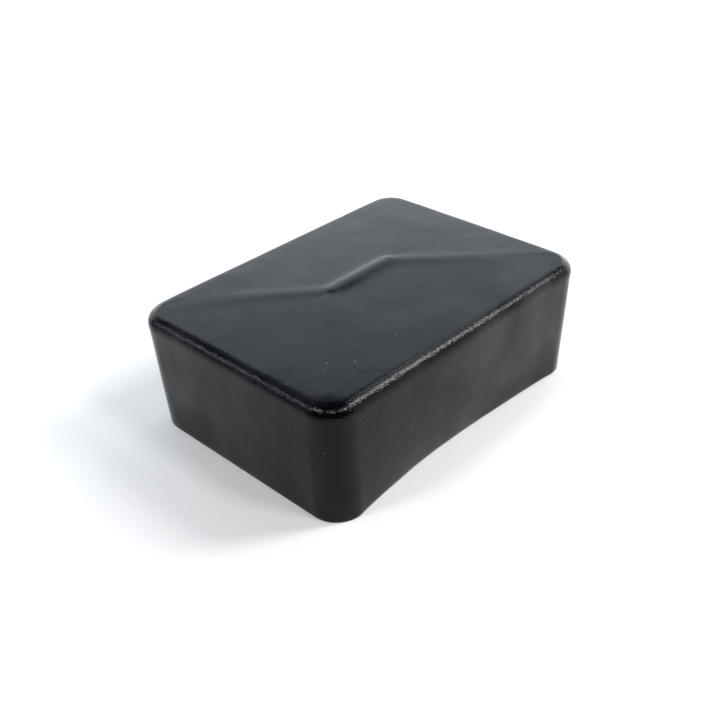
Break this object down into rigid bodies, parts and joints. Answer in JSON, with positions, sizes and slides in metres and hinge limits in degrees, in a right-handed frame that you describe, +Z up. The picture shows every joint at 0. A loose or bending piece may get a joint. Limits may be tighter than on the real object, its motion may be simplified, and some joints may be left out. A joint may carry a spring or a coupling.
{
  "type": "trailer post cap",
  "caption": "Moulded push-over cap for a rectangular box-section post: open underneath, with a low hipped top, rounded edges and long sides that bow in at the mouth.",
  "frame": {"origin": "centre of the open mouth, in the plane of its flat rim", "axes": "+Z up from the mouth to the roof, +X along the long side of the post's section, +Y along its short side"},
  "size_m": [0.0764, 0.0564, 0.029],
  "materials": {
    "moulding": "near-black, satin, finely pebbled"
  },
  "bodies": {
    "root": {"post_cap": "moulding"}
  },
  "joints": []
}
